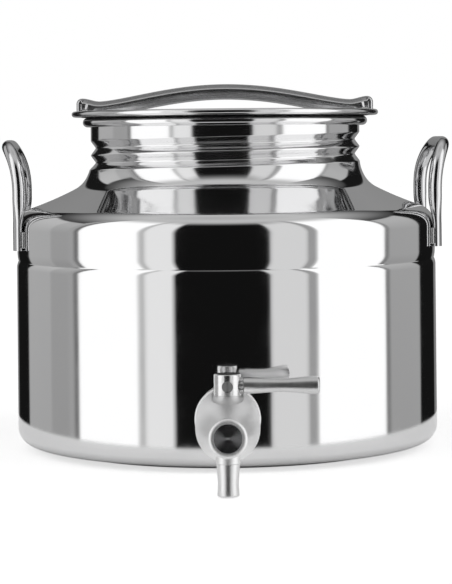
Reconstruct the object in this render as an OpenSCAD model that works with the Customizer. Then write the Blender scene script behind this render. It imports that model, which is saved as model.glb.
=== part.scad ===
// Steel dispensing can: two welded shells, a screw-in lid, two loop handles and a lever tap.
// Millimetres. The origin is the centre of the base, +Z is up and the tap points along -Y.

/* [Can] */
// Outer diameter of the lower shell
body_d = 220; // [210:1:230]
// Thickness of the drawn sheet
sheet = 0.8; // [0.6:0.1:1]
// Outer radius where the wall turns into the base
foot_r = 8; // [7:0.5:12]
// Height of the pressed step that the can stands on
base_h = 2.5; // [1:0.1:3]
// Radius of the middle of that step
base_r = 93; // [88:1:95]
// Height of the weld between the two shells
seam_z = 97.5; // [92:0.5:100]
// Height of the weld bead that fills the joint
seam_gap = 0.4; // [0.2:0.1:0.8]
// How much the lower wall draws in towards the weld
lower_dip = 0.83; // [0.5:0.01:1]
// Radius of the lower wall's draw-in
lower_curl_r = 6.6; // [5:0.1:9]
// How much smaller the upper wall's radius is
upper_step = 0.3; // [0.1:0.05:0.4]
// Radius of the upper wall's draw-in
upper_curl_r = 17.7; // [12:0.1:20]
// Height at which the wall starts to turn into the shoulder
corner_z = 114.5; // [114:0.1:115]
// Outer radius between the wall and the shoulder
corner_r = 10.7; // [10:0.1:11.5]
// Slope of the shoulder above the horizontal, beside that corner
slope_low = 19; // [18:0.5:20]
// Slope of the shoulder above the horizontal, beside the flare
slope_high = 27; // [26:0.5:28]
// Radius of the flare between the shoulder and the neck
flare_r = 14.6; // [13.5:0.1:15.5]

/* [Neck] */
// Outer radius at the foot of the neck
neck_foot_r = 73.2; // [73:0.1:73.5]
// Outer radius of the plain neck
neck_r = 70.8; // [70.5:0.1:71]
// Slope of the neck away from the vertical at its foot
foot_slope = 28; // [26:1:30]
// Height of the neck from its foot to the top of the rim
neck_h = 31.3; // [31:0.1:32]
// Diameter of the rolled rim
rim_d = 4.9; // [4.4:0.1:5.2]
// Rise of the thread in one turn
thread_pitch = 7.7; // [7.2:0.1:8]
// Depth of the pressed thread
thread_depth = 2.5; // [2:0.1:2.8]
// Height of the lowest thread root above the foot of the neck
thread_start = 7.6; // [7.3:0.1:7.9]
// Number of full-depth turns
thread_turns = 1.55; // [1.4:0.05:1.6]

/* [Lid] */
// Radial gap between the lid's thread and the neck
lid_gap = 0.7; // [0.6:0.05:0.8]
// Diameter of the flange
flange_d = 161.4; // [160:0.1:164]
// Thickness of the flange's hemmed edge
hem_d = 3; // [2.8:0.1:3.4]
// Depth of the pan below the top of the flange
lid_depth = 30.6; // [29:0.1:31]
// Outer radius of the pan below its thread
pan_r = 65.9; // [64:0.1:66]
// Outer radius at the bottom corner of the pan
pan_corner = 4; // [3:0.5:6]
// Thickness of the gasket
gasket_t = 2.4; // [2.3:0.1:2.8]

/* [Lid handle] */
// Half the distance between the ends of the handle
bridge_half = 78.2; // [77:0.1:79]
// Distance from the middle to the dip near each end
bridge_dip_x = 66; // [64:0.5:67]
// Height of the dip's top above the flange
bridge_dip_h = 5.4; // [5:0.1:6]
// Rise of the arch above the dip
bridge_rise = 8.5; // [7:0.1:10]
// Height of the curled end's top above the flange
bridge_curl_h = 7; // [6.5:0.1:7.5]
// Width across the channel
bridge_w = 18; // [16:1:20]
// Thickness of the channel's sheet
bridge_t = 1.4; // [1.2:0.1:1.6]
// Depth of the channel's sides under the arch
bridge_side = 8; // [7:0.1:9]
// Distance from the middle to the end of the sides
bridge_side_x = 75.3; // [75.3:0.1:75.6]

/* [Side handles] */
// Diameter of the handle tube
tube_d = 7; // [6:0.5:8]
// Half the distance between the two legs
leg_half = 30; // [27:1:33]
// Radius of the tube's centre line at the two bends
bend_r = 18; // [15:1:20]
// Height of the flattened foot's lower end
foot_z = 103.9; // [103.5:0.1:105.5]
// Height of the tube's centre line across the top
grip_z = 157.1; // [152:0.1:160]
// Distance of the tube's centre line from the can's axis across the top
grip_x = 113.2; // [112:0.1:116]
// Thickness of the flattened foot
foot_t = 4.5; // [4:0.1:5]
// Width of the flattened foot
foot_w = 8.6; // [8:0.1:9]
// Turn of both handles about the can's axis
handle_turn = 2.3; // [0:0.1:4]

/* [Tap] */
// Height of the tap's axis
tap_z = 27; // [26.5:0.1:30]
// Distance from the wall to the back of the flange
tap_gap = 3.2; // [2.6:0.1:4]
// Radius of the flange
tap_flange_r = 15.8; // [15.6:0.1:16]
// Thickness of the flange
tap_flange_t = 3.4; // [3:0.1:4]
// Radius of the barrel beside the flange
barrel_r = 15; // [14.8:0.1:15.2]
// Radius of the barrel at its front
barrel_front_r = 9.1; // [9:0.1:9.6]
// Distance from the wall to the front of the barrel
barrel_l = 73; // [72:0.5:75]
// Radius of the threaded shank through the wall
shank_r = 8.2; // [7.8:0.1:8.4]
// Length of the shank behind the flange
shank_l = 27; // [25:0.5:30]
// Radius of the passage along the barrel
passage_r = 5; // [4:0.1:5.2]
// Distance from the wall to the valve's axis
valve_y = 19.5; // [19:0.5:21]
// Radius of the valve plug
plug_r = 6; // [5.8:0.1:6.1]
// Radius of the hole across the plug
plug_bore_r = 4; // [3:0.1:4.4]
// Distance from the wall to the spout's axis
spout_y = 64.5; // [63.5:0.5:64.5]
// Radius of the spout at its top
spout_top_r = 5.4; // [5.2:0.1:5.6]
// Radius of the spout at its waist
spout_waist_r = 4.75; // [4.6:0.05:4.9]
// Radius of the spout at its tip
spout_tip_r = 5; // [4.9:0.05:5.2]
// Radius of the hole down the spout
spout_bore_r = 3.3; // [3:0.1:3.5]
// Height of the spout's tip above the base
spout_tip_z = 0.4; // [0.3:0.1:2]

/* [Lever] */
// Radius of the round head on the plug
head_r = 6.4; // [6.2:0.1:6.6]
// Height of the lever's axis above the tap's axis
lever_h = 17.6; // [17.5:0.1:18.2]
// Distance from the head's axis to the end of the lever
lever_l = 43.2; // [38:0.1:46]
// Radius of the lever's rod
stud_r = 2.2; // [2:0.1:2.4]
// Radius of the grip at its inner end
grip_root_r = 3.85; // [3.6:0.05:3.95]
// Radius of the grip at its waist
grip_waist_r = 3.1; // [2.9:0.05:3.3]
// Radius of the grip at its outer end
grip_end_r = 4.2; // [3.9:0.05:4.4]

/* [Hidden] */
$fn = 96;
fit = 0.05;
segs = 60;
wall_fn = 480;

body_r = body_d / 2;
upper_r = body_r - upper_step;
upper_dip = lower_dip - upper_step;
lower_rise = lower_curl_r * sin(acos(1 - lower_dip / lower_curl_r));
upper_rise = upper_curl_r * sin(acos(1 - upper_dip / upper_curl_r));
lower_edge_z = seam_z - seam_gap / 2;
upper_edge_z = seam_z + seam_gap / 2;
base_run = 6;
corner_end = [upper_r - corner_r * (1 - sin(slope_low)), corner_z + corner_r * cos(slope_low)];
flare_low_r = neck_foot_r + flare_r * (cos(foot_slope) - sin(slope_high));
shoulder_r = (corner_end.x - flare_low_r) / (sin(slope_high) - sin(slope_low));
flare_low_z = corner_end.y + shoulder_r * (cos(slope_low) - cos(slope_high));
mouth_z = flare_low_z + flare_r * (cos(slope_high) - sin(foot_slope));

neck_foot_h = 2 * (neck_foot_r - neck_r) / tan(foot_slope);
rim_r = rim_d / 2;
rim_top = mouth_z + neck_h;
rim_c = [neck_r - sheet + rim_r, rim_top - rim_r];
rim_meet = 180 + acos((rim_c.x - neck_r) / rim_r);
thread_z = mouth_z + thread_start;
thread_a = 180;
thread_fade = 0.13;
thread_round = 0.97;
thread_low = acos(thread_round) / 180;
pan_rise = 3.4;

seal_gap = 0.1;
gasket_z = rim_top + seal_gap;
gasket_in_r = neck_r + 0.3;
gasket_out_r = rim_c.x + 3.4;
lid_top = gasket_z + gasket_t + fit + sheet;
pan_z = lid_top - lid_depth;
lid_wall_r = neck_r - sheet - lid_gap;
lid_bend = 0.8;
lid_wall_top = lid_top - sheet - lid_bend;
hem_r = hem_d / 2;
hem_c = [flange_d / 2 - hem_r, lid_top - hem_r];
hem_meet = 180 - asin((hem_r - sheet) / hem_r);

bridge_base = lid_top + fit;
curl_r = 3;
bridge_edge = 1.8;
bridge_lip = 2.2;

leg_set = 0.9;
set_low = foot_z + 11;
set_high = foot_z + 25;
lean_low = foot_z + 28;
lean_power = 2.5;
flat_top = foot_z + 12;
round_low = foot_z + 26;
foot_end = 0.8;
foot_square = 0.5;
weld_l = 8;
weld_w = 1.5;
weld_t = 1.7;
weld_root = 0.9;

tap_y = body_r + tap_gap;
tap_front = body_r + barrel_l;
valve_d = body_r + valve_y;
spout_d = body_r + spout_y;
groove_end = tap_y + tap_flange_t + 0.5;
bell_y = valve_d + 16.5;
bell_end = tap_front - 3.5;
bell_len = bell_end - bell_y;
bell_lap = 0.5;
bell_back = 4;
bell_rise = 0.02;
bell_drop = barrel_r - barrel_front_r;
bell_r = (bell_len * bell_len + bell_drop * bell_drop) / (2 * bell_drop);
edge_r = 1.9;
end_plug_r = 6.8;
end_plug_l = 5.2;
end_plug_y = tap_front - 0.4;
deck_z = tap_z + 13;
deck_cut = 5;
turn_gap = 0.1;
chamber_z = tap_z - 11;
seat_z = tap_z - 12.6;
seat_r = 5.4;
stem_r = 2.5;
stem_z = tap_z - 21.3;
washer_z = tap_z - 16.9;
washer_t = 1;
boss_z = tap_z - 11.8;
spout_face = 0.4;
tail_r = spout_waist_r - 0.2;
tail_z = tap_z - end_plug_r - 0.4;
head_z = deck_z + turn_gap;
lever_z = tap_z + lever_h;
head_top = lever_z + 5.65;
flat_x = 3.5;
grip_start = 7.2;
rod_in = -1.9;
rod_out = 24;
screw_r = 2.6;
screw_gap = 0.1;
screw_sunk = 0.6;
ring_r = 0.75;
ring_in = plug_r - 2 * ring_r;
upper_ring_z = deck_z - 3;
lower_ring_z = chamber_z + 2.2;
end_ring_y = end_plug_y - 2.6;
end_ring_in = end_plug_r - 2 * ring_r;
shank_gap = 0.15;
inner_r = tap_flange_r - 1.5;
gasket_back_y = body_r - 3.8;
washer_back_y = gasket_back_y - 1.5;
nut_t = 6;

steel = [0.78, 0.79, 0.80];
steel_dark = [0.62, 0.63, 0.65];
silicone = [0.86, 0.86, 0.83];
black_rubber = [0.10, 0.10, 0.11];

// Points along an arc, from angle a0 to angle a1 in n steps.
function arc(c, r, a0, a1, n) =
    [for (i = [0:n]) c + r * [cos(a0 + (a1 - a0) * i / n), sin(a0 + (a1 - a0) * i / n)]];

function flip(list) = [for (i = [len(list) - 1:-1:0]) list[i]];

// Smooth step from 0 at a to 1 at b.
function ease(a, b, x) =
    let (t = min(1, max(0, (x - a) / (b - a))))
    t * t * (3 - 2 * t);

// Faces of a grid of rows, each with n points round it; wrap joins the last row to the first.
function grid_faces(rows, n, wrap) =
    [for (j = [0:rows - (wrap ? 1 : 2)], i = [0:n - 1])
        let (k = (j + 1) % rows, m = (i + 1) % n)
        each [[j * n + i, k * n + i, k * n + m], [j * n + i, k * n + m, j * n + m]]];

// Faces that close a grid's first and last rows on the two points added after it.
function fan_faces(rows, n) =
    [for (i = [0:n - 1])
        let (m = (i + 1) % n, last = (rows - 1) * n)
        each [[rows * n, i, m], [last + i, rows * n + 1, last + m]]];

// A point at radius r and height z, at step i of a turn.
function turned(r, z, i) = [r * cos(360 * i / segs), r * sin(360 * i / segs), z];

// Shape of the thread, u pitches from its root: 1 at the root, 0 at the crest, with both rounded.
function vee(u) = (1 - acos(thread_round * cos(360 * u)) / 180 - thread_low) / (1 - 2 * thread_low);

// Depth of the thread at angle a and height z, between the turns t0 and t1.
function thread(a, z, t0, t1) =
    let (turn = (a - thread_a) / 360,
        tau = turn + round((z - thread_z) / thread_pitch - turn),
        dz = z - thread_z - thread_pitch * tau,
        ends = ease(t0 - thread_fade, t0, tau) * (1 - ease(t1, t1 + thread_fade, tau)))
    thread_depth * ends * vee(dz / thread_pitch);

// Radius of the neck: a straight wall that widens to its foot, with the thread pressed in.
function neck_wall(a, z) =
    let (down = max(0, 1 - (z - mouth_z) / neck_foot_h))
    neck_r + (neck_foot_r - neck_r) * down * down - thread(a, z, 0, thread_turns);

function lid_wall(a, z) =
    let (low = pan_z + pan_corner,
        ramp = pan_r + (lid_wall_r - pan_r) * ease(low, low + pan_rise, z))
    min(ramp, lid_wall_r - thread(a, z, -9, thread_turns + 0.25));

// Outline of the shoulder at a depth t inside its outer face, from the weld up to the neck.
function shoulder_line(t) =
    let (low = asin(upper_rise / (upper_curl_r - t)),
        shoulder_c = corner_end + shoulder_r * [sin(slope_low), cos(slope_low)],
        slopes = [for (i = [1:3]) slope_low + (slope_high - slope_low) * i / 4],
        flare_c = [neck_foot_r, mouth_z] + flare_r * [cos(foot_slope), sin(foot_slope)])
    concat(arc([upper_r - upper_curl_r, upper_edge_z + upper_rise], upper_curl_r - t, -low, 0, 6),
        arc([upper_r - corner_r, corner_z], corner_r - t, 0, 90 - slope_low, 10),
        [for (s = slopes) shoulder_c - (shoulder_r + t) * [sin(s), cos(s)]],
        arc(flare_c, flare_r + t, 270 - slope_high, 180 + foot_slope, 8));

// Outline of the lower shell at a depth t inside its outer face, from the axis up to the weld.
function lower_line(t) =
    let (high = asin(lower_rise / (lower_curl_r - t)))
    concat([[0, t]],
        [for (i = [0:8]) [base_r + base_run * (i / 8 - 0.5), t + base_h * ease(0, 1, i / 8)]],
        arc([body_r - foot_r, foot_r + base_h], foot_r - t, -90, 0, 10),
        arc([body_r - lower_curl_r, lower_edge_z - lower_rise], lower_curl_r - t, 0, high, 6));

// Puts a shape drawn along +Z on the tap's axis, pointing along -Y from the can's axis.
module on_tap() {
    translate([0, 0, tap_z])
        rotate([90, 0, 0])
            children();
}

// Puts a shape drawn along +Z on the valve's axis.
module on_valve() {
    translate([0, -valve_d, 0])
        children();
}

// Puts a shape drawn along +Z on the lever's axis, pointing along +X.
module on_lever() {
    translate([0, -valve_d, lever_z])
        rotate([0, 90, 0])
            children();
}

module ring(r_in, r_out, z0, z1) {
    translate([0, 0, z0])
        difference() {
            cylinder(r = r_out, h = z1 - z0);
            translate([0, 0, -1])
                cylinder(r = r_in, h = z1 - z0 + 2);
        }
}

module lower_shell() {
    color(steel)
        difference() {
            rotate_extrude()
                polygon(concat(lower_line(0), flip(lower_line(sheet))));
            on_tap()
                translate([0, 0, body_r - 10])
                    cylinder(r = shank_r + 2 * shank_gap, h = 20);
        }
}

module shoulder() {
    color(steel)
        rotate_extrude()
            polygon(concat(shoulder_line(0), flip(shoulder_line(sheet))));
}

// The neck is a grid of points: up the outside, round the rolled rim and down the inside.
module neck() {
    wall_rows = 24;
    wall_top = rim_c.y + rim_r * sin(rim_meet);
    levels = [for (j = [0:wall_rows]) mouth_z + (wall_top - mouth_z) * j / wall_rows];
    roll = arc(rim_c, rim_r, rim_meet, 540, 12);
    points = concat(
        [for (z = levels, i = [0:segs - 1]) turned(neck_wall(360 * i / segs, z), z, i)],
        [for (j = [1:len(roll) - 1], i = [0:segs - 1]) turned(roll[j].x, roll[j].y, i)],
        [for (z = flip(levels), i = [0:segs - 1]) turned(neck_wall(360 * i / segs, z) - sheet, z, i)]);
    color(steel)
        polyhedron(points, grid_faces(len(points) / segs, segs, true));
}

module seam_weld() {
    color(steel)
        ring(upper_r - upper_dip - sheet - 0.1, upper_r - upper_dip, lower_edge_z, upper_edge_z);
}

// The lid is a grid of points: out along the bottom, up the thread, round the hem and back inside.
module lid_pan() {
    wall_rows = 19;
    wall_low = pan_z + pan_corner;
    levels = [for (j = [0:wall_rows]) wall_low + (lid_wall_top - wall_low) * j / wall_rows];
    corner_c = [pan_r - pan_corner, wall_low];
    bend_c = [lid_wall_r + lid_bend, lid_wall_top];
    under = arc(corner_c, pan_corner, -90, 0, 4);
    rim = concat(arc(bend_c, lid_bend, 180, 90, 3), arc(hem_c, hem_r, hem_meet, 450, 10),
        arc(bend_c, lid_bend + sheet, 90, 180, 3));
    inside = arc(corner_c, pan_corner - sheet, 0, -90, 4);
    points = concat(
        [for (j = [0:3], i = [0:segs - 1]) turned(under[j].x, under[j].y, i)],
        [for (z = levels, i = [0:segs - 1]) turned(lid_wall(360 * i / segs, z), z, i)],
        [for (j = [1:len(rim) - 2], i = [0:segs - 1]) turned(rim[j].x, rim[j].y, i)],
        [for (z = flip(levels), i = [0:segs - 1]) turned(lid_wall(360 * i / segs, z) - sheet, z, i)],
        [for (j = [1:4], i = [0:segs - 1]) turned(inside[j].x, inside[j].y, i)]);
    rows = len(points) / segs;
    color(steel)
        polyhedron(concat(points, [[0, 0, pan_z], [0, 0, pan_z + sheet]]),
            concat(grid_faces(rows, segs, false), fan_faces(rows, segs)));
}

module lid_gasket() {
    bevel = 0.5;
    outline = [[gasket_out_r - bevel, gasket_z], [gasket_out_r, gasket_z + bevel],
        [gasket_out_r, gasket_z + gasket_t - bevel], [gasket_out_r - bevel, gasket_z + gasket_t],
        [gasket_in_r, gasket_z + gasket_t], [gasket_in_r, gasket_z]];
    points = [for (p = outline, i = [0:segs - 1]) turned(p.x, p.y, i)];
    color(black_rubber)
        polyhedron(points, grid_faces(len(outline), segs, true));
}

// Height of the arch's top face at a distance x from the middle.
function arch_z(x) =
    lid_top + bridge_dip_h + bridge_rise * pow(max(0, 1 - x * x / (bridge_dip_x * bridge_dip_x)), 1.5);

// Top face of the bridge from its middle to its right end, as [x, z].
function bridge_half_line() =
    let (curl_c = [bridge_half - curl_r, lid_top + bridge_curl_h - curl_r],
        run = curl_c.x - bridge_dip_x)
    concat([for (i = [1:14]) [bridge_dip_x * i / 14, arch_z(bridge_dip_x * i / 14)]],
        [for (i = [1:7]) [bridge_dip_x + run * i / 8,
            lid_top + bridge_dip_h + (bridge_curl_h - bridge_dip_h) * ease(0, 1, i / 8)]],
        arc(curl_c, curl_r, 90, 0, 5),
        [[bridge_half, bridge_base]]);

// Section of the channel with sides d deep: over the outside, then back along the inside.
function channel(d) =
    let (w = bridge_w / 2, e = bridge_edge, k = bridge_edge * (1 - cos(45)), t = bridge_t,
        outer = [[w, -d], [w, -e], [w - k, -k], [w - e, 0]],
        inner = [[w - t, -d], [w - t, -e - 0.2], [w - t - 0.2, -e], [w - e - 0.2, -t]])
    concat(outer, [for (p = flip(outer)) [-p.x, p.y]],
        [for (p = inner) [-p.x, p.y]], flip(inner));

module lid_handle() {
    half = bridge_half_line();
    line = concat([for (p = flip(half)) [-p.x, p.y]], [[0, arch_z(0)]], half);
    n = len(line);
    sections = 16;
    points = [for (j = [0:n - 1])
        let (step = line[min(n - 1, j + 1)] - line[max(0, j - 1)],
            up = [-step.y, step.x] / norm(step),
            sides = min(bridge_side, (line[j].y - bridge_base) / max(0.5, up.y)),
            d = abs(line[j].x) < bridge_side_x ? sides : bridge_lip)
        for (p = channel(d))
            [line[j].x + p.y * up.x, p.x, line[j].y + p.y * up.y]];
    last = (n - 1) * sections;
    ends = [for (k = [0:6])
        each [[k, k + 1, 14 - k, 15 - k], [last + 15 - k, last + 14 - k, last + k + 1, last + k]]];
    color(steel)
        polyhedron(points, concat(grid_faces(n, sections, false), ends));
}

module lid_handle_welds() {
    bead = 1.2;
    length = 2;
    color(steel_dark)
        for (sx = [-1, 1], sy = [-1, 1])
            translate([sx * (bridge_side_x - length), sy * (bridge_w / 2 + fit), bridge_base])
                rotate([90, 0, 90])
                    linear_extrude(height = length, center = true)
                        polygon([[0, 0], [sy * bead, 0], [0, bead]]);
}

// Distance of a side handle's centre line from the can's axis at height z.
function loop_x(z) =
    let (foot_x = (upper_r + fit + foot_t / 2) * cos(asin(leg_half / (upper_r + foot_t / 2))),
        mid_x = foot_x - leg_set,
        lean = max(0, (z - lean_low) / (grip_z - lean_low)))
    mid_x + leg_set * (1 - ease(set_low, set_high, z)) + (grip_x - mid_x) * pow(lean, lean_power);

// Half of a side handle's centre line, from the foot up to the middle of the grip, as [y, z].
function loop_half() =
    let (straight = grip_z - bend_r - foot_z)
    concat([[-leg_half, foot_z], [-leg_half, foot_z + 0.9]],
        [for (i = [1:12]) [-leg_half, foot_z + straight * i / 13]],
        arc([bend_r - leg_half, grip_z - bend_r], bend_r, 180, 90, 7));

module side_handle() {
    half = loop_half();
    line = concat(half, [for (p = flip(half)) [-p.x, p.y]]);
    path = [for (p = line) [loop_x(p.y), p.x, p.y]];
    n = len(path);
    sides = 14;
    points = [for (j = [0:n - 1])
        let (step = path[min(n - 1, j + 1)] - path[max(0, j - 1)],
            along = step / norm(step),
            turn = asin(path[j].y / (upper_r + foot_t / 2)),
            out = [cos(turn), sin(turn), 0],
            flat = out - (out * along) * along,
            e1 = flat / norm(flat),
            e2 = cross(along, e1),
            tube = ease(flat_top, round_low, path[j].z),
            tip = (j == 0 || j == n - 1) ? foot_end : 1,
            a = foot_t / 2 + (tube_d - foot_t) / 2 * tube,
            b = (foot_w / 2 + (tube_d - foot_w) / 2 * tube) * tip,
            power = foot_square + (1 - foot_square) * tube)
        for (i = [0:sides - 1])
            let (c = cos(360 * i / sides), s = sin(360 * i / sides))
            path[j] + e1 * a * sign(c) * pow(abs(c), power) + e2 * b * sign(s) * pow(abs(s), power)];
    polyhedron(concat(points, [path[0], path[n - 1]]),
        concat(grid_faces(n, sides, false), fan_faces(n, sides)));
}

module left_handle() {
    color(steel)
        rotate([0, 0, 180 + handle_turn])
            side_handle();
}

module right_handle() {
    color(steel)
        rotate([0, 0, handle_turn])
            side_handle();
}

module handle_welds() {
    foot_a = asin(leg_half / (upper_r + foot_t / 2));
    low = upper_r + fit;
    half = foot_w / 2;
    color(steel_dark)
        for (side = [0, 180], end = [-1, 1], edge = [-1, 1])
            rotate([0, 0, handle_turn + side + end * foot_a])
                translate([0, 0, foot_z + weld_w])
                    linear_extrude(height = weld_l)
                        polygon([[low, edge * (half - weld_root)], [low + weld_root, edge * (half - fit)],
                            [low + weld_t, edge * (half + 2 * fit)],
                            [low + weld_t - 0.5, edge * (half + weld_root)], [low, edge * (half + weld_w)]]);
}

// Half outline of the tap's outside, as [radius, distance from the can's axis].
module tap_outline() {
    translate([0, tap_y - shank_l])
        square([shank_r, shank_l + 1]);
    translate([0, tap_y])
        square([tap_flange_r - 1, tap_flange_t]);
    translate([0, tap_y])
        square([tap_flange_r, tap_flange_t - 1]);
    translate([tap_flange_r - 1, tap_y + tap_flange_t - 1])
        circle(r = 1);
    translate([0, tap_y])
        square([barrel_r - 0.6, groove_end - tap_y + 1]);
    translate([0, groove_end])
        square([barrel_r - bell_rise, bell_y - groove_end]);
    intersection() {
        translate([barrel_r - bell_r, bell_y])
            circle(r = bell_r, $fn = wall_fn);
        translate([0, bell_y - bell_back])
            square([barrel_r + 1, bell_back + bell_len + bell_lap]);
    }
    translate([0, bell_end - bell_lap])
        square([barrel_front_r, tap_front - edge_r - bell_end + bell_lap]);
    translate([0, bell_end - bell_lap])
        square([barrel_front_r - edge_r, tap_front - bell_end + bell_lap]);
    translate([barrel_front_r - edge_r, tap_front - edge_r])
        circle(r = edge_r);
}

module tap_body() {
    color(steel)
        difference() {
            union() {
                on_tap()
                    rotate_extrude()
                        tap_outline();
                translate([0, -spout_d, boss_z])
                    cylinder(r = spout_top_r + 0.1, h = tap_z - boss_z);
            }
            on_tap()
                translate([0, 0, tap_y - shank_l - 1])
                    cylinder(r = passage_r, h = spout_d + passage_r - tap_y + shank_l + 1);
            on_tap()
                translate([0, 0, end_plug_y - end_plug_l - fit])
                    cylinder(r = end_plug_r + fit, h = end_plug_l + 5);
            on_valve() {
                translate([0, 0, chamber_z])
                    cylinder(r = plug_r + turn_gap, h = deck_z - chamber_z + 1);
                cylinder(r = stem_r + turn_gap, h = chamber_z + 1);
                cylinder(r = seat_r, h = seat_z);
            }
            translate([-barrel_r, -tap_front, deck_z])
                cube([2 * barrel_r, tap_front - groove_end, deck_cut]);
            translate([0, -spout_d, boss_z - deck_cut])
                cylinder(r = spout_top_r + spout_face, h = deck_cut);
            translate([0, -spout_d, boss_z - 1])
                cylinder(r = tail_r + fit, h = tap_z - boss_z + 1);
        }
}

module tap_gasket_outer() {
    color(silicone)
        difference() {
            on_tap()
                ring(shank_r + shank_gap, tap_flange_r - 0.8, body_r - 4, tap_y);
            cylinder(r = body_r, h = 2 * tap_z, $fn = wall_fn);
        }
}

module tap_gasket_inner() {
    color(silicone)
        intersection() {
            on_tap()
                ring(shank_r + shank_gap, inner_r, gasket_back_y, body_r);
            cylinder(r = body_r - sheet, h = 2 * tap_z, $fn = wall_fn);
        }
}

module tap_washer() {
    color(steel)
        on_tap()
            ring(shank_r + shank_gap, inner_r, washer_back_y, gasket_back_y);
}

module tap_nut() {
    across = 25;
    color(steel)
        on_tap()
            difference() {
                translate([0, 0, washer_back_y - nut_t])
                    cylinder(r = across / 2 / cos(30), h = nut_t, $fn = 6);
                translate([0, 0, body_r - 20])
                    cylinder(r = shank_r + fit, h = 20);
            }
}

module front_plug() {
    color(steel_dark)
        on_tap()
            difference() {
                translate([0, 0, end_plug_y - end_plug_l])
                    cylinder(r = end_plug_r, h = end_plug_l);
                ring(end_ring_in - fit, end_plug_r + 1, end_ring_y - ring_r - fit, end_ring_y + ring_r + fit);
            }
}

// An O-ring with its inner radius r, lying at height z.
module o_ring(r, z) {
    translate([0, 0, z])
        rotate_extrude()
            translate([r + ring_r, 0])
                circle(r = ring_r);
}

module front_plug_seal() {
    color(black_rubber)
        on_tap()
            o_ring(end_ring_in, end_ring_y);
}

// Radius of the spout at height z: wide at the top, waisted, slightly wider at the tip.
function spout_r(z) =
    let (waist_z = spout_tip_z + 5.4)
    z > waist_z ? spout_waist_r + (spout_top_r - spout_waist_r) * ease(waist_z, boss_z + 2, z)
        : spout_waist_r + (spout_tip_r - spout_waist_r) * ease(waist_z, spout_tip_z, z);

module spout() {
    steps = 14;
    top = boss_z - fit;
    outside = [for (i = [0:steps])
        let (z = spout_tip_z + (top - spout_tip_z) * i / steps)
        [spout_r(z), z]];
    color(steel)
        translate([0, -spout_d, 0])
            rotate_extrude()
                polygon(concat([[spout_bore_r, spout_tip_z]], outside,
                    [[tail_r, top], [tail_r, tail_z], [spout_bore_r, tail_z]]));
}

module valve_plug() {
    color(steel)
        difference() {
            on_valve() {
                translate([0, 0, stem_z])
                    cylinder(r = stem_r, h = chamber_z - stem_z + 1);
                translate([0, 0, chamber_z + 0.1])
                    cylinder(r = plug_r, h = head_z - chamber_z);
                rotate_extrude() {
                    translate([0, head_z])
                        square([head_r, head_top - head_z - 0.6]);
                    translate([0, head_z])
                        square([head_r - 0.6, head_top - head_z]);
                    translate([head_r - 0.6, head_top - 0.6])
                        circle(r = 0.6);
                }
            }
            on_valve() {
                translate([0, 0, tap_z])
                    rotate([0, 90, 0])
                        cylinder(r = plug_bore_r, h = 2 * plug_r + 2, center = true);
                for (z = [upper_ring_z, lower_ring_z])
                    ring(ring_in - fit, plug_r + 1, z - ring_r - fit, z + ring_r + fit);
            }
            on_lever() {
                translate([0, 0, rod_in - fit])
                    cylinder(r = stud_r + fit, h = head_r + 4);
                translate([0, 0, flat_x])
                    cylinder(r = 4, h = head_r);
            }
            translate([0, -valve_d - stud_r - screw_gap, lever_z])
                rotate([90, 0, 0])
                    cylinder(r = screw_r + fit, h = head_r);
        }
}

module plug_seal_upper() {
    color(black_rubber)
        on_valve()
            o_ring(ring_in, upper_ring_z);
}

module plug_seal_lower() {
    color(black_rubber)
        on_valve()
            o_ring(ring_in, lower_ring_z);
}

// A disc spring: a shallow cone of sheet under the barrel.
module plug_spring() {
    low = washer_z + washer_t;
    high = seat_z - fit;
    thick = 0.6;
    color(steel_dark)
        on_valve()
            rotate_extrude()
                polygon([[stem_r + 0.2, low], [stem_r + 0.7, low], [seat_r - 0.4, high - thick],
                    [seat_r - 0.4, high], [seat_r - 0.8, high], [stem_r + 0.2, low + thick]]);
}

module plug_washer() {
    color(steel)
        on_valve()
            ring(stem_r + fit, seat_r - 0.4, washer_z, washer_z + washer_t - fit);
}

module plug_nut() {
    across = 8;
    color(steel)
        on_valve()
            difference() {
                translate([0, 0, stem_z + 1])
                    cylinder(r = across / 2 / cos(30), h = washer_z - fit - stem_z - 1, $fn = 6);
                cylinder(r = stem_r + fit, h = washer_z);
            }
}

module lever_stud() {
    color(steel)
        on_lever()
            translate([0, 0, rod_in])
                cylinder(r = stud_r, h = rod_out - rod_in);
}

// Radius of the grip at a share t of its length.
function grip_r(t) =
    t < 0.5 ? grip_waist_r + (grip_root_r - grip_waist_r) * ease(0.5, 0.02, t)
        : grip_waist_r + (grip_end_r - grip_waist_r) * ease(0.5, 0.96, t);

module lever_grip() {
    steps = 16;
    round_r = 1.2;
    length = lever_l - round_r - grip_start;
    outside = [for (i = [0:steps]) [grip_r(i / steps), grip_start + length * i / steps]];
    tip = arc([grip_end_r - round_r, lever_l - round_r], round_r, 0, 90, 4);
    bore_r = stud_r + fit;
    color(steel)
        on_lever()
            rotate_extrude()
                polygon(concat([[bore_r, grip_start]], outside, tip,
                    [[0, lever_l], [0, rod_out + fit], [bore_r, rod_out + fit]]));
}

module lever_screw() {
    slot_w = 0.9;
    color(steel_dark)
        translate([0, -valve_d - stud_r - screw_gap - fit, lever_z])
            difference() {
                rotate([90, 0, 0])
                    cylinder(r = screw_r, h = head_r - stud_r - screw_sunk);
                translate([0, -head_r + stud_r + screw_sunk, 0])
                    cube([slot_w, 2, 3 * screw_r], center = true);
            }
}

lower_shell();
shoulder();
neck();
seam_weld();
left_handle();
right_handle();
handle_welds();
lid_pan();
lid_gasket();
lid_handle();
lid_handle_welds();
tap_body();
tap_gasket_outer();
tap_gasket_inner();
tap_washer();
tap_nut();
front_plug();
front_plug_seal();
spout();
valve_plug();
plug_seal_upper();
plug_seal_lower();
plug_spring();
plug_washer();
plug_nut();
lever_stud();
lever_grip();
lever_screw();
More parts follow.
